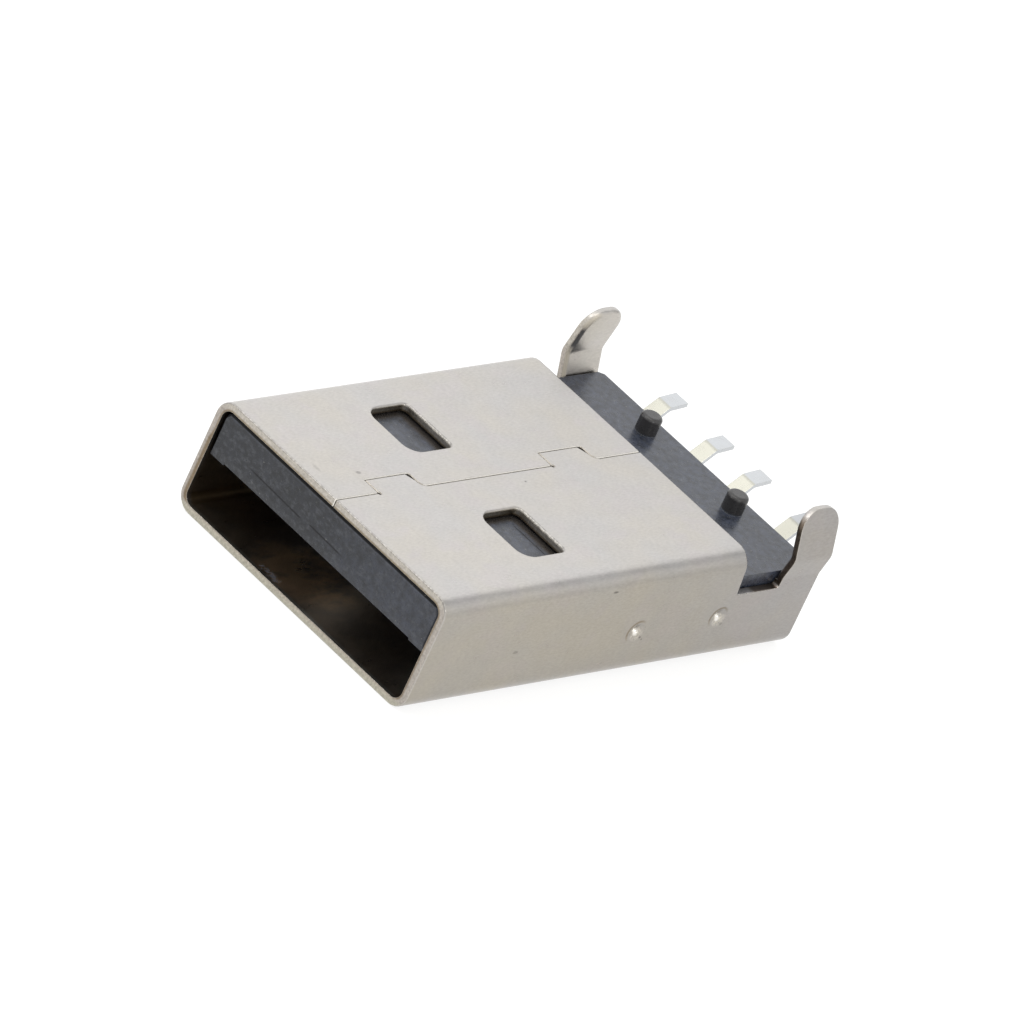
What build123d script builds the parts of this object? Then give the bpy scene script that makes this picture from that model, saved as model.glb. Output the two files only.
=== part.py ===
from build123d import *
import os

# USB type-A plug that solders to the edge of a circuit board and holds the board below its roof.
# Millimetres. X runs across the plug, Y from the mouth to the solder tails, Z up to the board side.
# The origin is the centre of the mouth, on the plane of its front edge.

# Shell: one sheet, stamped, folded to a tube and closed along the middle of the roof
shell_width = 12.0
shell_height = 4.5
sheet = 0.3
corner_radius = 0.7
roof_length = 15.11
floor_length = 19.27
rim_round = 0.07

# Latch holes, two in the roof and two in the floor
latch_spacing = 5.96
latch_width = 2.5
latch_start = 5.34
latch_length = 2.02
latch_front_radius = 0.55
latch_rear_radius = 0.24
latch_edge_radius = 0.1

# Seam: two tabs of the right half lock into pockets of the left half, and their rear tips are cut off
seam_gap = 0.03
tab_starts = (2.1, 10.7)
tab_length = 2.1
tab_depth = 0.75
tab_root_radius = 0.28
tab_tip_across = 0.42
tab_tip_along = 0.17
pocket_radius = 0.16
relief_diameter = 0.13
seam_edge_bevel = 0.03

# Press marks stake the side walls into larger pockets of the housing. Each is a shallow cone with a
# deeper point in its middle; the places are depth and height.
stake_places = ((10.7, -0.34), (14.86, -0.3))
stake_radius = 0.37
stake_depth = 0.26
stake_step_radius = 0.15
stake_step_depth = 0.1
stake_bulge_height = 0.12
pocket_scale = 1.2

# Board legs, part of the shell: each wall bows out, then leans back in by a slope of its own
leg_width = 1.87
notch_floor = 0.58
notch_front_radius = 0.06
notch_leg_radius = 0.14
notch_slant = 0.14
leg_stem_height = 0.8
leg_knee = 1.8
leg_tip_radius = 0.78
leg_bend_radius = 0.3
leg_edge_radius = 0.15
right_bow_start = 0.95
right_bow = 0.17
right_lean = 0.28
right_tip = 3.6
left_bow_start = 0.85
left_bow = 0.28
left_lean = 0.172
left_tip = 3.68

# Housing: tongue, rear block and two pegs in one moulding
housing_clearance = 0.05
roof_clearance = 0.1
tongue_recess = 0.1
mouth_opening = 2.01
rib_height = 0.07
rib_width = 0.75
tongue_edge = 0.1
lead_in_height = 0.35
lead_in_depth = 0.05
cavity_depth = 10.0
seat_drop = 1.2
step_setback = 0.05
rear_setback = 0.02
block_corner = 0.18

# Locating pegs on the board seat
peg_spacing = 4.6
peg_setback = 0.94
peg_diameter = 0.8
peg_height = 0.7
peg_edge_radius = 0.15

# Contacts: a blade under the tongue, a gull-wing tail behind the block
contact_sheet = 0.15
contact_proud = 0.03
contact_clearance = 0.02
blade_width = 1.0
blade_corner = 0.15
tail_width = 0.64
neck_setback = 0.9
neck_length = 0.3
power_front = 1.24
data_front = 2.24
data_spacing = 2.0
power_spacing = 7.0
tail_run = 0.12
foot_length = 0.8
foot_rise = 0.07
tail_overhang = 2.05
foot_stand = 0.08
tail_bend_radius = 0.15

# Places that follow from the sizes above
half_width = shell_width / 2
roof = shell_height / 2
floor = -roof
inner_half_width = half_width - sheet
inner_roof = roof - sheet
inner_floor = floor + sheet
inner_radius = corner_radius - sheet
leg_front = floor_length - leg_width
ledge_start = roof_length + notch_slant
tongue_top = inner_roof - roof_clearance
rib_bottom = inner_floor + mouth_opening
tongue_bottom = rib_bottom + rib_height
housing_half_width = inner_half_width - housing_clearance
housing_bottom = inner_floor + housing_clearance
housing_radius = inner_radius - housing_clearance
block_rear = floor_length - rear_setback
tail_end = block_rear + tail_overhang
board_seat = roof - seat_drop
peg_top = board_seat + peg_height
blade_bottom = tongue_bottom - contact_proud
foot_bottom = board_seat + foot_stand - contact_sheet

# Cutters reach this far past the metal; edges are picked within the small tolerance
margin = 2.0
touch = 0.01

contacts = (
    ("vbus_contact", -power_spacing / 2, power_front),
    ("data_minus_contact", -data_spacing / 2, data_front),
    ("data_plus_contact", data_spacing / 2, data_front),
    ("ground_contact", power_spacing / 2, power_front),
)


def section_plane(depth):
    """Plane across the plug at a depth from the mouth; its sketch runs along X and Z."""
    return Plane(origin=(0, depth, 0), x_dir=(1, 0, 0), z_dir=(0, -1, 0))


def side_plane(offset):
    """Plane along the plug at an offset from its middle; its sketch runs along Y and Z."""
    return Plane(origin=(offset, 0, 0), x_dir=(0, 1, 0), z_dir=(1, 0, 0))


def tab_outline(grow, root_radius):
    """Right half of the roof with its two tabs, grown by a gap on the seam side."""
    with BuildSketch() as outline:
        with Locations((-grow, -margin)):
            Rectangle(half_width, roof_length + 2 * margin, align=(Align.MIN, Align.MIN))
        for start in tab_starts:
            with Locations((-tab_depth - grow, start - grow)):
                Rectangle(half_width, tab_length + 2 * grow, align=(Align.MIN, Align.MIN))
        for start in tab_starts:
            tab_root = outline.vertices().sort_by_distance((-grow, start + tab_length + grow))[0]
            fillet(tab_root, root_radius)
    return outline.sketch


def press_marks(base, profile):
    """Marks turned from a profile of radius and depth, with their rim at base from the middle."""
    with BuildPart() as marks:
        for side in (1, -1):
            for depth, height in stake_places:
                points = [(side * (base - reach), height + radius) for radius, reach in profile]
                with BuildSketch(section_plane(depth)):
                    with BuildLine():
                        Polyline((side * base, height), *points, close=True)
                    make_face()
                revolve(axis=Axis((side * base, depth, height), (side, 0, 0)))
    return marks.part


# Seam slit: the pockets of the left half less the tabs of the right half
with BuildPart() as seam_slit:
    with BuildSketch(Plane.XY.offset(inner_roof - sheet)) as slit:
        add(tab_outline(seam_gap, tab_root_radius - seam_gap))
        for start in tab_starts:
            pocket_rear = start + tab_length + seam_gap
            pocket_tip = slit.vertices().sort_by_distance((-tab_depth - seam_gap, pocket_rear))[0]
            fillet(pocket_tip, pocket_radius)
        add(tab_outline(0, tab_root_radius), mode=Mode.SUBTRACT)
        for start in tab_starts:
            tab_rear = start + tab_length
            with BuildLine():
                Polyline(
                    (-tab_depth, tab_rear - tab_tip_along),
                    (-tab_depth + tab_tip_across, tab_rear),
                    (-tab_depth, tab_rear),
                    close=True,
                )
            make_face()
        with Locations([(0, start) for start in tab_starts]):
            Circle(relief_diameter / 2)
    extrude(amount=3 * sheet)

# Board legs: the wall bows out, leans back in and ends in a round tip with a soft inner edge
board_legs = []
for side, bow_start, bow, lean, tip in (
    (1, right_bow_start, right_bow, right_lean, right_tip),
    (-1, left_bow_start, left_bow, left_lean, left_tip),
):
    knee = half_width + bow
    top = tip + sheet
    with BuildPart() as leg:
        with BuildSketch(section_plane(leg_front)):
            with BuildLine():
                FilletPolyline(
                    (side * half_width, notch_floor - sheet),
                    (side * half_width, bow_start),
                    (side * knee, leg_knee),
                    (side * (knee - lean * (top - leg_knee)), top),
                    radius=(leg_bend_radius, leg_bend_radius + sheet),
                )
                offset(amount=sheet, side=Side.LEFT if side > 0 else Side.RIGHT)
            make_face()
        extrude(amount=-leg_width)
        with BuildSketch(side_plane(0)):
            with Locations((leg_front + leg_width / 2, tip)):
                outline = Rectangle(leg_width, tip, align=(Align.CENTER, Align.MAX))
            fillet(outline.vertices().group_by(Axis.Z)[-1], leg_tip_radius)
        extrude(amount=shell_width, both=True, mode=Mode.INTERSECT)
        top_edges = leg.edges().filter_by_position(Axis.Z, tip - touch, tip + touch)
        fillet(top_edges.sort_by(Axis((0, 0, 0), (side, 0, 0)))[0], leg_edge_radius)
    board_legs.append(leg.part)

# Shell
stake_bulges = press_marks(inner_half_width, ((stake_radius, 0), (0, stake_bulge_height)))
stake_dents = press_marks(
    half_width,
    ((stake_radius, 0), (stake_step_radius, stake_step_depth), (0, stake_depth)),
)
with BuildPart() as shell:
    with BuildSketch(section_plane(0)):
        RectangleRounded(shell_width, shell_height, corner_radius)
        RectangleRounded(2 * inner_half_width, shell_height - 2 * sheet, inner_radius, mode=Mode.SUBTRACT)
    extrude(amount=-floor_length)
    fillet(shell.faces().sort_by(Axis.Y)[0].outer_wire().edges(), rim_round)

    # Latch holes, with the rolled edge that the punch leaves on the outside
    with BuildSketch(Plane.XY) as latches:
        with Locations((-latch_spacing / 2, latch_start), (latch_spacing / 2, latch_start)):
            Rectangle(latch_width, latch_length, align=(Align.CENTER, Align.MIN))
        fillet(latches.vertices().group_by(Axis.Y)[0], latch_front_radius)
        fillet(latches.vertices().group_by(Axis.Y)[-1], latch_rear_radius)
    extrude(amount=shell_height, both=True, mode=Mode.SUBTRACT)
    for face in (shell.faces().sort_by(Axis.Z)[-1], shell.faces().sort_by(Axis.Z)[0]):
        fillet([edge for wire in face.inner_wires() for edge in wire.edges()], latch_edge_radius)

    # Behind the roof the side walls drop to a ledge, and the legs rise from their stems behind it
    with BuildSketch(side_plane(0)) as notch:
        with BuildLine():
            Polyline(
                (roof_length, roof + margin),
                (roof_length, roof - corner_radius),
                (ledge_start, notch_floor),
                (leg_front, notch_floor),
                (leg_front, leg_stem_height),
                (floor_length + margin, leg_stem_height),
                (floor_length + margin, roof + margin),
                close=True,
            )
        make_face()
        fillet(notch.vertices().sort_by_distance((ledge_start, notch_floor))[0], notch_front_radius)
        fillet(notch.vertices().sort_by_distance((leg_front, notch_floor))[0], notch_leg_radius)
    extrude(amount=shell_width, both=True, mode=Mode.SUBTRACT)
    for leg_part in board_legs:
        add(leg_part)

    # Press marks in the side walls, and the seam in the roof
    add(stake_bulges)
    add(stake_dents, mode=Mode.SUBTRACT)
    add(seam_slit.part, mode=Mode.SUBTRACT)
    seam_edges = shell.edges().filter_by_position(Axis.Z, roof - touch, roof + touch)
    seam_edges = seam_edges.filter_by_position(Axis.X, -tab_depth - 2 * seam_gap, relief_diameter)
    chamfer(seam_edges, seam_edge_bevel)

# Housing
stake_pockets = press_marks(
    inner_half_width,
    ((pocket_scale * stake_radius, 0), (0, pocket_scale * stake_bulge_height)),
)
with BuildPart() as housing:
    with BuildSketch(section_plane(tongue_recess)):
        with Locations((0, (tongue_top + housing_bottom) / 2)):
            RectangleRounded(2 * housing_half_width, tongue_top - housing_bottom, housing_radius)
    extrude(amount=tongue_recess - block_rear)
    with BuildSketch(Plane.XY) as plan:
        with Locations((0, tongue_recess)):
            Rectangle(2 * housing_half_width, block_rear - tongue_recess, align=(Align.CENTER, Align.MIN))
        chamfer(plan.vertices().group_by(Axis.Y)[-1], block_corner)
    extrude(amount=shell_height, both=True, mode=Mode.INTERSECT)
    chamfer(housing.faces().sort_by(Axis.Y)[0].edges().sort_by(Axis.Z)[-1], tongue_edge)

    # Cavity under the tongue, which keeps a low rib along each side
    with BuildSketch(section_plane(0)):
        with Locations((0, rib_bottom)):
            Rectangle(shell_width, shell_height, align=(Align.CENTER, Align.MAX))
        with Locations((0, tongue_bottom)):
            Rectangle(2 * (housing_half_width - rib_width), shell_height, align=(Align.CENTER, Align.MAX))
    extrude(amount=-cavity_depth, mode=Mode.SUBTRACT)
    with BuildSketch(side_plane(0)):
        with BuildLine():
            Polyline(
                (tongue_recess, rib_bottom + lead_in_height),
                (tongue_recess + lead_in_depth, rib_bottom),
                (0, rib_bottom),
                close=True,
            )
        make_face()
    extrude(amount=shell_width, both=True, mode=Mode.SUBTRACT)

    # Board seat, a step down behind the shell's roof, with its two pegs
    with BuildSketch(Plane.XY.offset(board_seat)):
        with Locations((0, roof_length - step_setback)):
            Rectangle(shell_width, floor_length, align=(Align.CENTER, Align.MIN))
    extrude(amount=shell_height, mode=Mode.SUBTRACT)
    with BuildSketch(Plane.XY.offset(board_seat)):
        with Locations((0, block_rear - peg_setback)):
            with GridLocations(peg_spacing, 0, 2, 1):
                Circle(peg_diameter / 2)
    extrude(amount=peg_height)
    peg_rims = housing.edges().filter_by_position(Axis.Z, peg_top - touch, peg_top + touch)
    fillet(peg_rims.filter_by(GeomType.CIRCLE), peg_edge_radius)

    # Slots that the contacts are pushed into from behind, open downwards along the tongue
    for name, offset_x, front in contacts:
        with BuildSketch(section_plane(front - contact_clearance)):
            with Locations((offset_x, blade_bottom - contact_clearance)):
                Rectangle(
                    blade_width + 2 * contact_clearance,
                    contact_sheet + 2 * contact_clearance,
                    align=(Align.CENTER, Align.MIN),
                )
        extrude(amount=-floor_length, mode=Mode.SUBTRACT)
    add(stake_pockets, mode=Mode.SUBTRACT)

# Contacts
contact_parts = []
for name, offset_x, front in contacts:
    with BuildPart() as contact:
        with BuildSketch(side_plane(offset_x)):
            with BuildLine():
                FilletPolyline(
                    (front, blade_bottom),
                    (block_rear + tail_run, blade_bottom),
                    (tail_end - foot_length, foot_bottom),
                    (tail_end, foot_bottom + foot_rise),
                    radius=(tail_bend_radius + contact_sheet, tail_bend_radius),
                )
                offset(amount=contact_sheet, side=Side.LEFT)
            make_face()
        extrude(amount=blade_width / 2, both=True)
        with BuildSketch(Plane.XY) as plan:
            with BuildLine():
                neck = block_rear - neck_setback
                Polyline(
                    (offset_x - tail_width / 2, tail_end),
                    (offset_x - tail_width / 2, neck + neck_length),
                    (offset_x - blade_width / 2, neck),
                    (offset_x - blade_width / 2, front),
                    (offset_x + blade_width / 2, front),
                    (offset_x + blade_width / 2, neck),
                    (offset_x + tail_width / 2, neck + neck_length),
                    (offset_x + tail_width / 2, tail_end),
                    close=True,
                )
            make_face()
            chamfer(plan.vertices().group_by(Axis.Y)[0], blade_corner)
        extrude(amount=shell_height, both=True, mode=Mode.INTERSECT)
    contact.part.label = name
    contact_parts.append(contact.part)

shell.part.label = "shell"
housing.part.label = "housing"
os.makedirs("parts", exist_ok=True)
for piece in (shell.part, housing.part, *contact_parts):
    export_step(piece, f"parts/{piece.label}.step")
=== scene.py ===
import bpy
from mathutils import Matrix, Vector


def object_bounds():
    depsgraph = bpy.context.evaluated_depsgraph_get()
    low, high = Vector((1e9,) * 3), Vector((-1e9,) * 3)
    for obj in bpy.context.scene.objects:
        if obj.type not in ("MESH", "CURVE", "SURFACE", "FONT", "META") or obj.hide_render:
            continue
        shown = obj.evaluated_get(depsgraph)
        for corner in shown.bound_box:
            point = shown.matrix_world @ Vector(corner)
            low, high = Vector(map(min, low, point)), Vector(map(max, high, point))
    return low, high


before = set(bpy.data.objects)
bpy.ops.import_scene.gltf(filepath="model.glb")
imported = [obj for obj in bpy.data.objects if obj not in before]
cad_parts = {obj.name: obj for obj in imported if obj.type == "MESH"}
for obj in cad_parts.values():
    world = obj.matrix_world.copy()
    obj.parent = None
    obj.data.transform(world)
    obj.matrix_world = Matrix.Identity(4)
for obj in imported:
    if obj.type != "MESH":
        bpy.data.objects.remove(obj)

# Looks of a USB type-A plug with a satin nickel shell, a dark housing and tinned contacts.
# Metres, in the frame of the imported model. Places and sizes inside the materials are in millimetres.
cad_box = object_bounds()
scene = bpy.context.scene
MM = 0.001

# Ranges in millimetres over which the shell's masks fade. Across and height count from the middle.
OUTER_SHEET = (1.90, 1.96)  # height at which the metal of roof and floor starts
TUBE_INSIDE_ACROSS = (5.68, 5.74)
TUBE_INSIDE_HEIGHT = (1.93, 1.99)
HOLES_ACROSS = (4.9, 5.0)  # no latch hole lies further out
SEAM_FLANKS_ACROSS = (0.84, 0.88)
SEAM_ACROSS = (0.95, 1.05)  # the seam and its tabs lie within this
LOWER_RIM = (-2.05, -1.85)
UPPER_RIM = (1.85, 2.05)
WALL_TO_LEG = (12.0, 18.5)  # depth over which the walls turn into the legs

# Middles of the bends between roof, walls and floor
CORNER_ACROSS = 5.3
CORNER_HEIGHT = 1.55

# Small stains, and painted shade in small dents and in the creases beside the press marks, on the shell: centre,
# half sizes and shade
STAINS_AND_PAINTED_SHADE = (
    ((-1.16, 2.14, 2.25), (0.10, 0.14, 0.1), 0.62),
    ((0.56, 8.81, 2.25), (0.05, 0.06, 0.1), 0.45),
    ((-1.70, 0.60, 2.25), (0.25, 0.10, 0.1), 0.80),
    ((6.00, 8.53, 1.64), (0.1, 0.16, 0.05), 0.45),
    ((6.00, 4.60, -0.31), (0.1, 0.16, 0.08), 0.70),
    ((5.90, 10.53, -0.10), (0.3, 0.05, 0.16), 0.55),
    ((5.90, 10.85, -0.48), (0.3, 0.08, 0.06), 0.60),
    ((5.90, 10.99, -0.60), (0.3, 0.08, 0.07), 0.55),
    ((5.90, 11.12, -0.70), (0.3, 0.06, 0.06), 0.60),
    ((5.90, 15.12, -0.62), (0.3, 0.09, 0.09), 0.70),
)

# Press marks in each wall: depth and height of the middle, the radius of the arc of painted shade, depth and
# height of its middle
WALL_SIDES = (6.0, -6.0)
PRESS_MARKS = (
    (10.74, -0.44, 0.46, 10.38, -0.10),
    (14.88, -0.42, 0.42, 14.62, -0.05),
)

# Latch holes of the roof: left walls, and the middle and the rear wall in depth
HOLE_LEFT_WALLS = (-4.23, 1.73)
HOLE_MIDDLE = 6.35
HOLE_REAR_WALL = 7.3

# The fine dark line on the tongue's front: its slope across, and its break
LINE_SLOPE = -0.025
LINE_BREAK = -0.9
LINE_MIDDLE = -1.35
TOP_LINE = 6.9  # depth of the fine dark line on the tongue's top


# Node helpers
def new_material(name):
    """An empty node material with its shader and output."""
    material = bpy.data.materials.new(name)
    material.use_nodes = True
    tree = material.node_tree
    tree.nodes.clear()
    output = tree.nodes.new("ShaderNodeOutputMaterial")
    shader = tree.nodes.new("ShaderNodeBsdfPrincipled")
    tree.links.new(shader.outputs["BSDF"], output.inputs["Surface"])
    return material, tree, shader


def plug_in(tree, socket, value):
    """Link an output to a socket, or set the socket to a number or a colour."""
    if isinstance(value, bpy.types.NodeSocket):
        tree.links.new(value, socket)
    else:
        socket.default_value = value


def maths(tree, operation, *values, clamp=False):
    node = tree.nodes.new("ShaderNodeMath")
    node.operation = operation
    node.use_clamp = clamp
    for socket, value in zip(node.inputs, values):
        plug_in(tree, socket, value)
    return node.outputs[0]


def times(tree, first, *others):
    """Product of all values."""
    for other in others:
        first = maths(tree, "MULTIPLY", first, other)
    return first


def size_of(tree, value):
    return maths(tree, "ABSOLUTE", value)


def off(tree, value, place):
    """How far value is from place, on either side."""
    return size_of(tree, maths(tree, "SUBTRACT", value, place))


def ranged(tree, value, from_low, from_high, to_low, to_high):
    node = tree.nodes.new("ShaderNodeMapRange")
    plug_in(tree, node.inputs["Value"], value)
    node.inputs["From Min"].default_value = from_low
    node.inputs["From Max"].default_value = from_high
    node.inputs["To Min"].default_value = to_low
    node.inputs["To Max"].default_value = to_high
    return node.outputs["Result"]


def rise(tree, value, low, high):
    """0 below low, 1 above high."""
    return ranged(tree, value, low, high, 0.0, 1.0)


def fall(tree, value, low, high):
    """1 below low, 0 above high."""
    return ranged(tree, value, low, high, 1.0, 0.0)


def swing(tree, pattern, to_low, to_high):
    """The usual spread of a noise, brought to the range from to_low to to_high."""
    return ranged(tree, pattern, 0.3, 0.7, to_low, to_high)


def separated(tree, vector):
    node = tree.nodes.new("ShaderNodeSeparateXYZ")
    tree.links.new(vector, node.inputs[0])
    return node.outputs["X"], node.outputs["Y"], node.outputs["Z"]


def place_mm(tree):
    """Place on the object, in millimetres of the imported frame."""
    coordinate = tree.nodes.new("ShaderNodeTexCoord")
    scale = tree.nodes.new("ShaderNodeVectorMath")
    scale.operation = "SCALE"
    scale.inputs["Scale"].default_value = 1 / MM
    tree.links.new(coordinate.outputs["Object"], scale.inputs[0])
    return scale.outputs[0]


def facing(tree):
    """The three parts of the surface normal."""
    geometry = tree.nodes.new("ShaderNodeNewGeometry")
    return separated(tree, geometry.outputs["Normal"])


def stretched(tree, place, x, y, z):
    node = tree.nodes.new("ShaderNodeVectorMath")
    node.operation = "MULTIPLY"
    tree.links.new(place, node.inputs[0])
    node.inputs[1].default_value = (x, y, z)
    return node.outputs[0]


def length(tree, vector):
    node = tree.nodes.new("ShaderNodeVectorMath")
    node.operation = "LENGTH"
    tree.links.new(vector, node.inputs[0])
    return node.outputs["Value"]


def noise(tree, place, scale, detail=3.0, roughness=0.5):
    """Noise from about 0.25 to 0.75, with its middle at 0.5."""
    node = tree.nodes.new("ShaderNodeTexNoise")
    node.inputs["Scale"].default_value = scale
    node.inputs["Detail"].default_value = detail
    node.inputs["Roughness"].default_value = roughness
    tree.links.new(place, node.inputs["Vector"])
    return node.outputs["Fac"]


def mixed(tree, factor, first, second, blend="MIX"):
    """Colour mix; first and second are colours or outputs."""
    node = tree.nodes.new("ShaderNodeMix")
    node.data_type = "RGBA"
    node.blend_type = blend
    plug_in(tree, node.inputs[0], factor)
    plug_in(tree, node.inputs[6], first)
    plug_in(tree, node.inputs[7], second)
    return node.outputs[2]


def mixed_number(tree, factor, first, second):
    node = tree.nodes.new("ShaderNodeMix")
    node.data_type = "FLOAT"
    plug_in(tree, node.inputs[0], factor)
    plug_in(tree, node.inputs[2], first)
    plug_in(tree, node.inputs[3], second)
    return node.outputs[0]


def shaded(tree, factor, colour, shade):
    """Colour, multiplied by the shade where the factor is 1."""
    return mixed(tree, factor, colour, mixed(tree, 1.0, colour, shade, "MULTIPLY"))


def tinted(tree, colour, tone):
    """Colour times a tone, which is an output."""
    joined = tree.nodes.new("ShaderNodeCombineColor")
    for socket in joined.inputs[:3]:
        tree.links.new(tone, socket)
    return mixed(tree, 1.0, colour, joined.outputs[0], "MULTIPLY")


def bumped(tree, height, strength, distance, normal):
    node = tree.nodes.new("ShaderNodeBump")
    node.inputs["Strength"].default_value = strength
    node.inputs["Distance"].default_value = distance
    tree.links.new(height, node.inputs["Height"])
    tree.links.new(normal, node.inputs["Normal"])
    return node.outputs["Normal"]


def rounded(tree, radius):
    """Normal that rolls over sharp edges within radius, in metres."""
    node = tree.nodes.new("ShaderNodeBevel")
    node.samples = 6
    plug_in(tree, node.inputs["Radius"], radius)
    return node.outputs["Normal"]


def edge_mask(tree, radius):
    """1 at sharp edges, falling to 0 within radius of them, in metres."""
    roll = rounded(tree, radius)
    geometry = tree.nodes.new("ShaderNodeNewGeometry")
    dot = tree.nodes.new("ShaderNodeVectorMath")
    dot.operation = "DOT_PRODUCT"
    tree.links.new(roll, dot.inputs[0])
    tree.links.new(geometry.outputs["Normal"], dot.inputs[1])
    on_edge, on_flat = 0.86, 0.995
    return ranged(tree, dot.outputs["Value"], on_flat, on_edge, 0.0, 1.0)


def spot(tree, place, centre, size):
    """1 at the middle of an ellipsoid, 0 from its surface outwards."""
    offset = tree.nodes.new("ShaderNodeVectorMath")
    offset.operation = "SUBTRACT"
    tree.links.new(place, offset.inputs[0])
    offset.inputs[1].default_value = centre
    shape = tree.nodes.new("ShaderNodeVectorMath")
    shape.operation = "DIVIDE"
    tree.links.new(offset.outputs[0], shape.inputs[0])
    shape.inputs[1].default_value = size
    return maths(tree, "SUBTRACT", 1.0, length(tree, shape.outputs[0]), clamp=True)


def blot(tree, place, centre, size):
    """A spot that is full in its inner half."""
    return rise(tree, spot(tree, place, centre, size), 0.0, 0.5)


# Satin nickel on the stamped shell
def nickel_material():
    material, tree, shader = new_material("satin_nickel")
    place = place_mm(tree)
    x, y, z = separated(tree, place)
    normal_x, normal_y, normal_z = facing(tree)
    across = size_of(tree, x)
    height = size_of(tree, z)
    sideways = size_of(tree, normal_x)

    patches = noise(tree, place, 0.42, 2.0)
    lilac = noise(tree, stretched(tree, place, 1.0, 0.7, 1.0), 1.1, 2.0)
    clouds = noise(tree, stretched(tree, place, 1.0, 0.6, 1.0), 1.7, 4.0, 0.6)
    grain = noise(tree, stretched(tree, place, 1.0, 0.35, 1.0), 16.0, 3.0, 0.6)
    streaks = noise(tree, stretched(tree, place, 14.0, 0.5, 14.0), 1.0, 3.0, 0.55)
    torn = noise(tree, place, 7.0, 3.0, 0.6)
    grit = noise(tree, place, 13.0, 3.0, 0.6)

    # Plain metal: warm and lilac patches, a little darker towards the rear
    colour = mixed(tree, rise(tree, patches, 0.36, 0.64), (0.490, 0.466, 0.432, 1), (0.474, 0.460, 0.448, 1))
    colour = mixed(tree, ranged(tree, lilac, 0.52, 0.66, 0.0, 0.7), colour, (0.484, 0.458, 0.450, 1))
    tone = swing(tree, clouds, 0.965, 1.035)
    fine = swing(tree, grain, 0.925, 1.075)
    rear = ranged(tree, y, 4.0, 15.0, 1.0, 0.93)
    colour = tinted(tree, colour, times(tree, tone, fine, rear))

    # Sheared faces: the rims at both ends and the walls of the latch holes
    low_rim = fall(tree, z, *LOWER_RIM)
    high_rim = rise(tree, z, *UPPER_RIM)
    upright = fall(tree, size_of(tree, normal_z), 0.15, 0.45)
    in_sheet = rise(tree, height, *OUTER_SHEET)
    hole_wall = times(tree, upright, fall(tree, across, *HOLES_ACROSS), in_sheet)
    sheared = maths(tree, "MAXIMUM", rise(tree, size_of(tree, normal_y), 0.75, 0.95), hole_wall)
    cut_colour = mixed(tree, low_rim, (0.385, 0.352, 0.318, 1), (0.405, 0.387, 0.322, 1))
    cut_colour = mixed(tree, high_rim, cut_colour, (0.445, 0.415, 0.368, 1))
    cut_colour = tinted(tree, cut_colour, swing(tree, torn, 0.84, 1.16))
    cut_colour = tinted(tree, cut_colour, swing(tree, grit, 0.80, 1.20))

    # The rim is painted darker brown along its inner line, a painted shade that is wider at the lower left, and
    # cream along the floor
    corner = tree.nodes.new("ShaderNodeCombineXYZ")
    for socket, value, middle in (("X", across, CORNER_ACROSS), ("Y", height, CORNER_HEIGHT)):
        past_middle = maths(tree, "SUBTRACT", value, middle)
        tree.links.new(maths(tree, "MAXIMUM", past_middle, 0.0), corner.inputs[socket])
    reach = length(tree, corner.outputs[0])
    widening = times(tree, ranged(tree, x, -5.7, -5.5, 0.08, 0.0), fall(tree, z, 0.6, 1.0))
    inner_line = fall(tree, maths(tree, "SUBTRACT", reach, widening), 0.43, 0.50)
    # Painted shade along the rim's inner line
    brown = maths(tree, "SUBTRACT", inner_line, low_rim, clamp=True)
    cut_colour = shaded(tree, brown, cut_colour, (0.55, 0.47, 0.36, 1))
    cream = times(tree, fall(tree, reach, 0.46, 0.60), low_rim)
    cut_colour = shaded(tree, cream, cut_colour, (1.09, 1.05, 1.05, 1))

    # The seam's flanks are painted near-white, painted light in the narrow slit, so that the seam isn't a black
    # line
    seam_flank_painted_light = times(tree, rise(tree, sideways, 0.4, 0.6), fall(tree, across, *SEAM_FLANKS_ACROSS), in_sheet)
    sheared = maths(tree, "MAXIMUM", sheared, seam_flank_painted_light)
    cut_colour = mixed(tree, seam_flank_painted_light, cut_colour, (0.860, 0.835, 0.800, 1))
    colour = mixed(tree, sheared, colour, cut_colour)

    # The inside of the tube has a brown patina, brightened to orange in a pool of painted light behind the mouth
    inner_x = fall(tree, across, *TUBE_INSIDE_ACROSS)
    inner_z = fall(tree, height, *TUBE_INSIDE_HEIGHT)
    deep = rise(tree, y, 0.02, 0.25)
    painted_light_pool = ranged(tree, spot(tree, place, (-1.1, 1.7, -1.95), (2.2, 2.2, 2.0)), 0.0, 0.5, 0.12, 1.0)
    stain_in_painted_light = noise(tree, stretched(tree, place, 1.0, 0.5, 1.0), 0.9, 4.0, 0.6)
    stain_in_painted_light = times(tree, rise(tree, stain_in_painted_light, 0.40, 0.60), painted_light_pool)
    tarnish_and_painted_light = mixed(tree, stain_in_painted_light, (0.230, 0.165, 0.100, 1), (1.000, 0.640, 0.320, 1))
    colour = mixed(tree, times(tree, inner_x, inner_z, deep), colour, tarnish_and_painted_light)

    # The walls are painted darker and yellower than the roof, a painted shade that fades towards the legs; the
    # far leg is painted lighter and the near leg darker, painted light and shade
    wall = rise(tree, sideways, 0.55, 0.98)
    wall_painted_shade = times(tree, wall, ranged(tree, y, *WALL_TO_LEG, 1.0, 0.45))
    colour = shaded(tree, wall_painted_shade, colour, (0.770, 0.742, 0.678, 1))
    legs = times(tree, wall, rise(tree, y, *WALL_TO_LEG))
    leg_painted_light_and_shade = mixed(tree, rise(tree, x, -5.0, 5.0), (1.24, 1.24, 1.24, 1), (0.82, 0.82, 0.85, 1))
    colour = shaded(tree, legs, colour, leg_painted_light_and_shade)

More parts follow.
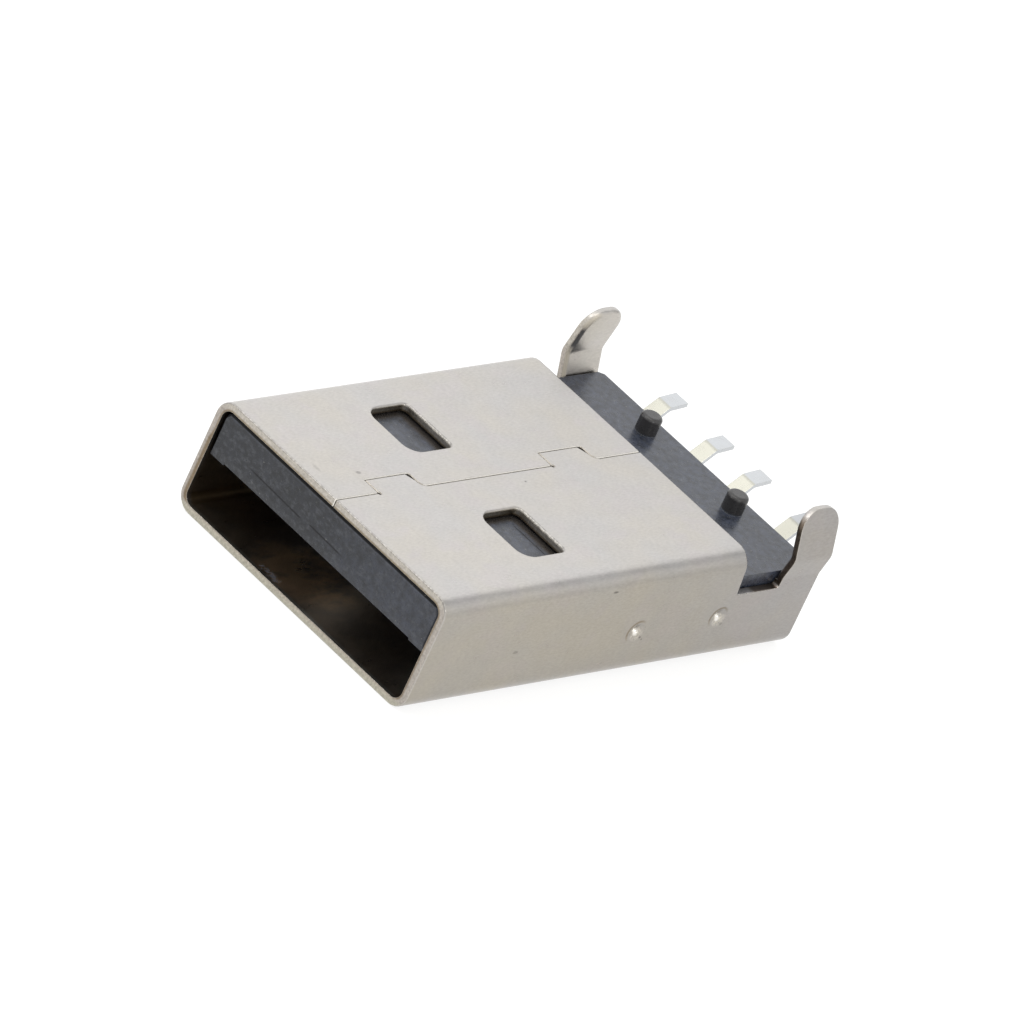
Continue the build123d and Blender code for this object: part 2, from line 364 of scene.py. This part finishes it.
    # The notch and the inner edge of the near leg are painted darker brown, painted shade
    beside = times(tree, rise(tree, x, 5.4, 5.6), rise(tree, y, 16.0, 16.2))
    upward = times(tree, rise(tree, normal_z, 0.5, 0.8), fall(tree, z, 1.5, 1.7))
    forward = fall(tree, normal_y, -0.95, -0.75)
    notch_painted_shade = times(tree, beside, maths(tree, "MAXIMUM", upward, forward))
    colour = shaded(tree, notch_painted_shade, colour, (0.42, 0.36, 0.32, 1))

    # Stains, and painted shade in the dents and creases
    for centre, size, shade in STAINS_AND_PAINTED_SHADE:
        colour = shaded(tree, blot(tree, place, centre, size), colour, (shade, shade, shade, 1))

    # The press marks are lighter and scratched across their dish, with a painted highlight in the middle and an
    # arc of painted shade along their upper front side
    scratched = ranged(tree, grit, 0.40, 0.60, 0.0, 0.7)
    for side in WALL_SIDES:
        for along, up, radius, arc_along, arc_up in PRESS_MARKS:
            dished = blot(tree, place, (side, along, up), (0.5, 0.34, 0.30))
            colour = mixed(tree, times(tree, dished, scratched), colour, (0.66, 0.61, 0.51, 1))
            bright = blot(tree, place, (side, along, up), (0.5, 0.15, 0.13))
            colour = mixed(tree, bright, colour, (0.88, 0.85, 0.79, 1))
            circle = spot(tree, place, (side, along - 0.06, up + 0.09), (1.0, radius * 2, radius * 2))
            near_arc = spot(tree, place, (side, arc_along, arc_up), (0.5, 0.64, 0.64))
            near_arc = ranged(tree, near_arc, 0.05, 0.45, 0.0, 0.9)
            arc = times(tree, fall(tree, off(tree, circle, 0.5), 0.02, 0.075), near_arc)
            colour = shaded(tree, arc, colour, (0.58, 0.51, 0.40, 1))

    # Edges are painted darker, a painted shade that tones down their sheen, with bright nicks of painted glint,
    # and paler on the legs as a painted highlight
    chips = noise(tree, place, 5.0, 2.0)
    edge_band = edge_mask(tree, 0.05 * MM)
    edge_band = maths(tree, "MULTIPLY", edge_band, ranged(tree, chips, 0.35, 0.65, 0.5, 1.5), clamp=True)
    edge_painted_shade_and_glint = mixed(tree, rise(tree, grit, 0.55, 0.64), (0.310, 0.297, 0.268, 1), (0.700, 0.670, 0.610, 1))
    edge_painted_shade_and_glint = mixed(tree, rise(tree, y, 16.9, 17.2), edge_painted_shade_and_glint, (0.64, 0.62, 0.57, 1))
    colour = mixed(tree, times(tree, edge_band, 0.8), colour, edge_painted_shade_and_glint)

    # The rounded front edges of the mouth and the latch holes are painted darker, a painted shade that tones
    # down their highlight, patchy with lighter nicks, and darkest on the tab edges along the seam
    tilted = times(tree, normal_y, normal_z)
    tilted = times(tree, fall(tree, tilted, -0.40, -0.12), fall(tree, y, 15.0, 15.1))
    rounded_edge_painted_shade = tinted(tree, colour, ranged(tree, grit, 0.42, 0.62, 0.55, 0.86))
    seam_end = times(tree, fall(tree, across, *SEAM_ACROSS), rise(tree, y, 0.2, 0.3))
    rounded_edge_painted_shade = mixed(tree, seam_end, rounded_edge_painted_shade, (0.27, 0.25, 0.225, 1))
    colour = mixed(tree, tilted, colour, rounded_edge_painted_shade)

    # Dull spots: the inner edge of the far leg but for its bend is a light tan, painted light in place of its
    # dark reflection; the floor of the tube has a dark bluish patch
    leg_edge_painted_light = fall(tree, times(tree, normal_x, normal_y), -0.35, -0.12)
    off_bend = rise(tree, off(tree, z, 2.5), 0.35, 0.55)
    leg_edge_painted_light = times(tree, leg_edge_painted_light, fall(tree, x, -5.2, -5.0), off_bend, rise(tree, y, 16.7, 16.8))
    colour = mixed(tree, leg_edge_painted_light, colour, (0.47, 0.43, 0.36, 1))
    patch_spot = spot(tree, place, (-1.42, 0.36, -1.95), (0.76, 0.24, 0.1))
    ragged = maths(tree, "MULTIPLY_ADD", torn, 2.6, patch_spot)
    ragged = maths(tree, "MULTIPLY_ADD", grit, 2.4, ragged)
    dark_patch = times(tree, rise(tree, ragged, 3.00, 3.20), rise(tree, patch_spot, 0.0, 0.15))
    colour = mixed(tree, dark_patch, colour, (0.100, 0.100, 0.118, 1))
    dull = maths(tree, "MAXIMUM", leg_edge_painted_light, times(tree, dark_patch, 0.65))
    tree.links.new(colour, shader.inputs["Base Color"])
    tree.links.new(ranged(tree, dull, 0.0, 1.0, 1.0, 0.1), shader.inputs["Metallic"])

    rough = swing(tree, clouds, 0.28, 0.35)
    rough = maths(tree, "ADD", rough, swing(tree, streaks, -0.02, 0.02))
    rough = maths(tree, "ADD", rough, times(tree, sheared, 0.08))
    rough = maths(tree, "SUBTRACT", rough, times(tree, edge_band, 0.08))
    tree.links.new(rough, shader.inputs["Roughness"])

    # Edges roll over less at the mouth, and least of all along the seam
    roll = ranged(tree, y, 0.3, 0.5, 0.025 * MM, 0.065 * MM)
    roll = mixed_number(tree, fall(tree, across, *SEAM_ACROSS), roll, 0.015 * MM)
    normal = rounded(tree, roll)
    normal = bumped(tree, clouds, 0.25, 0.02 * MM, normal)
    normal = bumped(tree, torn, 0.25, 0.02 * MM, normal)
    normal = bumped(tree, streaks, 0.12, 0.004 * MM, normal)
    normal = bumped(tree, grain, 0.25, 0.003 * MM, normal)
    tree.links.new(normal, shader.inputs["Normal"])
    return material


# Dark moulded plastic of the housing
def plastic_material():
    material, tree, shader = new_material("dark_moulding")
    place = place_mm(tree)
    x, y, z = separated(tree, place)
    clouds = noise(tree, place, 0.8, 3.0)
    mottle = noise(tree, place, 4.0, 4.0, 0.62)
    grain = noise(tree, place, 9.0, 4.0, 0.6)
    flow = noise(tree, stretched(tree, place, 1.0, 0.15, 1.0), 5.0, 3.0)
    colour = mixed(tree, swing(tree, clouds, 0.0, 1.0), (0.026, 0.031, 0.045, 1), (0.033, 0.039, 0.057, 1))

    # The tongue's front is painted darker, painted shade, most of all along its upper edge under the roof and
    # less towards the right, with a line of painted highlight below that edge
    front = fall(tree, y, 0.2, 0.6)
    upper_edge_painted_shade = times(tree, front, rise(tree, z, 1.745, 1.775))
    line_painted_highlight = spot(tree, place, (0.0, 0.1, 1.73), (1000.0, 0.1, 0.035))
    front_painted_shade = ranged(tree, x, -1.0, 3.4, 0.26, 0.60)
    front_painted_shade = maths(tree, "ADD", front_painted_shade, times(tree, line_painted_highlight, 0.5))
    front_painted_shade = times(tree, front_painted_shade, ranged(tree, upper_edge_painted_shade, 0.0, 1.0, 1.0, 0.15))
    tone = times(tree, swing(tree, mottle, 0.40, 1.60), mixed_number(tree, front, 1.0, front_painted_shade))
    colour = tinted(tree, colour, tone)
    scuffs = noise(tree, stretched(tree, place, 0.7, 1.0, 1.0), 6.5, 4.0, 0.7)
    scuffs = ranged(tree, scuffs, 0.50, 0.66, 0.0, 0.6)
    scuffed = times(tree, scuffs, maths(tree, "SUBTRACT", 1.0, upper_edge_painted_shade))
    colour = mixed(tree, scuffed, colour, (0.052, 0.056, 0.066, 1))
    pegs = times(tree, rise(tree, z, 1.06, 1.12), rise(tree, y, 17.0, 17.2))
    colour = mixed(tree, pegs, colour, (0.034, 0.033, 0.034, 1))

    # Painted shade in the latch holes: the plastic turns dark brown along their rear and left walls
    rear_wall = fall(tree, off(tree, y, HOLE_REAR_WALL), 0.12, 0.32)
    left_walls = (off(tree, x, wall) for wall in HOLE_LEFT_WALLS)
    left_wall = fall(tree, maths(tree, "MINIMUM", *left_walls), 0.10, 0.30)
    in_hole = ranged(tree, off(tree, y, HOLE_MIDDLE), 1.1, 1.3, 0.8, 0.0)
    dark_patch = times(tree, maths(tree, "MAXIMUM", rear_wall, left_wall), in_hole, rise(tree, z, 1.5, 1.6))
    colour = mixed(tree, dark_patch, colour, (0.034, 0.028, 0.022, 1))

    # A fine dark line runs across the tongue's front, and another along its top
    course = times(tree, x, LINE_SLOPE)
    course = maths(tree, "ADD", course, ranged(tree, x, -0.95, -0.85, 0.645, 0.714))
    off_line = size_of(tree, maths(tree, "SUBTRACT", z, course))
    front_line = times(
        tree,
        fall(tree, off_line, 0.018, 0.045),
        fall(tree, y, 0.12, 0.16),
        fall(tree, off(tree, x, LINE_MIDDLE), 2.2, 2.7),
        rise(tree, off(tree, x, LINE_BREAK), 0.12, 0.30),
    )
    top_line = times(tree, fall(tree, off(tree, y, TOP_LINE), 0.012, 0.035), rise(tree, x, 2.0, 2.4))
    lines = maths(tree, "MAXIMUM", front_line, top_line)
    colour = mixed(tree, times(tree, lines, 0.95), colour, (0.006, 0.006, 0.008, 1))

    specks = noise(tree, place, 11.0, 1.0)
    colour = mixed(tree, ranged(tree, specks, 0.735, 0.78, 0.0, 0.8), colour, (0.16, 0.16, 0.15, 1))
    edge_band = edge_mask(tree, 0.05 * MM)
    colour = mixed(tree, times(tree, edge_band, 0.4), colour, (0.075, 0.080, 0.092, 1))
    tree.links.new(colour, shader.inputs["Base Color"])
    rough = swing(tree, grain, 0.24, 0.36)
    rough = maths(tree, "ADD", rough, swing(tree, flow, -0.03, 0.03))
    rough = maths(tree, "ADD", rough, times(tree, maths(tree, "MAXIMUM", upper_edge_painted_shade, lines), 0.5))
    tree.links.new(rough, shader.inputs["Roughness"])
    normal = rounded(tree, 0.04 * MM)
    normal = bumped(tree, grain, 0.3, 0.006 * MM, normal)
    normal = bumped(tree, flow, 0.2, 0.006 * MM, normal)
    tree.links.new(normal, shader.inputs["Normal"])
    return material


# Bright tin on the contacts
def tin_material():
    material, tree, shader = new_material("bright_tin")
    place = place_mm(tree)
    x, _, _ = separated(tree, place)
    _, normal_y, _ = facing(tree)
    clouds = noise(tree, place, 2.4, 3.0)
    grain = noise(tree, place, 22.0, 3.0, 0.6)
    draw = noise(tree, stretched(tree, place, 12.0, 0.7, 12.0), 1.0, 3.0)
    colour = mixed(tree, swing(tree, clouds, 0.0, 1.0), (0.515, 0.528, 0.540, 1), (0.545, 0.562, 0.580, 1))

    # The slopes are painted yellower and a little darker than the rest, painted light; the contact behind the
    # near leg is painted darker, painted shade
    slope_painted_light = rise(tree, size_of(tree, normal_y), 0.2, 0.4)
    colour = mixed(tree, slope_painted_light, colour, (0.470, 0.466, 0.415, 1))
    colour = tinted(tree, colour, ranged(tree, x, 2.4, 3.4, 1.0, 0.86))
    edge_band = edge_mask(tree, 0.03 * MM)
    colour = mixed(tree, times(tree, edge_band, 0.5), colour, (0.66, 0.66, 0.64, 1))
    tree.links.new(colour, shader.inputs["Base Color"])
    shader.inputs["Metallic"].default_value = 1.0
    tree.links.new(swing(tree, clouds, 0.24, 0.34), shader.inputs["Roughness"])
    normal = rounded(tree, 0.025 * MM)
    normal = bumped(tree, grain, 0.12, 0.001 * MM, normal)
    normal = bumped(tree, draw, 0.10, 0.002 * MM, normal)
    tree.links.new(normal, shader.inputs["Normal"])
    return material


def dress(node, material):
    """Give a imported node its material."""
    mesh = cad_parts[node].data
    mesh.materials.clear()
    mesh.materials.append(material)


dress("shell", nickel_material())
dress("housing", plastic_material())
tin = tin_material()
for node in ("vbus_contact", "data_minus_contact", "data_plus_contact", "ground_contact"):
    dress(node, tin)

# Floor under the shell: white paper, lit from below
FLOOR_HALF = 3.0
PAPER_GLOW = 0.78
floor_height = cad_box[0].z
floor_mesh = bpy.data.meshes.new("floor")
corners = [(x * FLOOR_HALF, y * FLOOR_HALF, floor_height) for x, y in ((-1, -1), (1, -1), (1, 1), (-1, 1))]
floor_mesh.from_pydata(corners, [], [(0, 1, 2, 3)])
floor = bpy.data.objects.new("floor", floor_mesh)
scene.collection.objects.link(floor)
paper, paper_tree, paper_shader = new_material("white_paper")
paper_shader.inputs["Base Color"].default_value = (0.25, 0.25, 0.248, 1)
paper_shader.inputs["Roughness"].default_value = 0.7
paper_shader.inputs["Emission Color"].default_value = (1.0, 1.0, 1.0, 1)
paper_shader.inputs["Emission Strength"].default_value = PAPER_GLOW
floor_mesh.materials.append(paper)

# Soft studio light from all around. Its strength changes with the direction from left (-1) to right (1),
# and it is a little weaker near the horizon.
SKY_STOPS = ((-0.08, 1.0), (0.10, 0.50), (0.24, 0.50), (0.50, 0.86), (0.70, 0.84))
SKY_STRENGTH = 1.34
world = bpy.data.worlds.new("studio")
scene.world = world
world.use_nodes = True
sky_tree = world.node_tree
backdrop = sky_tree.nodes["Background"]
direction = sky_tree.nodes.new("ShaderNodeTexCoord")
direction_x, _, direction_z = separated(sky_tree, direction.outputs["Generated"])
level = sky_tree.nodes.new("ShaderNodeValToRGB")
level.color_ramp.interpolation = "LINEAR"
stops = level.color_ramp.elements
for side, strength in SKY_STOPS:
    stops.new(side / 2 + 0.5).color = (strength, strength, strength, 1)
stops.remove(stops[0])
stops.remove(stops[-1])
sky_tree.links.new(maths(sky_tree, "MULTIPLY_ADD", direction_x, 0.5, 0.5), level.inputs["Fac"])
horizon = ranged(sky_tree, direction_z, 0.02, 0.30, 0.80, 1.0)
sky_tree.links.new(tinted(sky_tree, level.outputs["Color"], horizon), backdrop.inputs["Color"])
backdrop.inputs["Strength"].default_value = SKY_STRENGTH


def soft_box(name, place, target, width, height, watts, colour):
    """An area light at place that points at target, all in metres."""
    data = bpy.data.lights.new(name, "AREA")
    data.shape = "RECTANGLE"
    data.size = width
    data.size_y = height
    data.energy = watts
    data.color = colour
    light = bpy.data.objects.new(name, data)
    scene.collection.objects.link(light)
    light.location = place
    light.rotation_mode = "QUATERNION"
    light.rotation_quaternion = (Vector(target) - Vector(place)).to_track_quat("-Z", "Y")


middle = (0.0, 0.0095, 0.0)
soft_box("top_light", (0.0, -0.14, 0.48), middle, 0.5, 0.22, 0.57, (1.0, 0.97, 0.89))
soft_box("window_light", (0.40, -0.11, 0.25), middle, 0.07, 0.07, 0.18, (1.0, 0.98, 0.93))
soft_box("front_light", (-0.25, -0.235, 0.365), middle, 0.10, 0.10, 0.13, (1.0, 0.98, 0.93))

# Camera: solved on the photo's edges, with its roll
LENS_MM = 463.9
SENSOR_MM = 36.0
eye = Vector((222.32, -316.68, 208.67)) * MM
look = Vector((-0.49800, 0.73104, -0.46645)).normalized()
up = Vector((-0.59001, 0.10856, 0.80006))
right = look.cross(up).normalized()
up = right.cross(look)
camera_data = bpy.data.cameras.new("camera")
camera_data.sensor_width = SENSOR_MM
camera_data.lens = LENS_MM
camera_data.clip_start = 0.01
camera_data.clip_end = 20.0
camera = bpy.data.objects.new("camera", camera_data)
scene.collection.objects.link(camera)
turn = Matrix((right, up, -look)).transposed()
camera.matrix_world = Matrix.Translation(eye) @ turn.to_4x4()
scene.camera = camera

scene.view_settings.view_transform = "Standard"
scene.view_settings.look = "None"
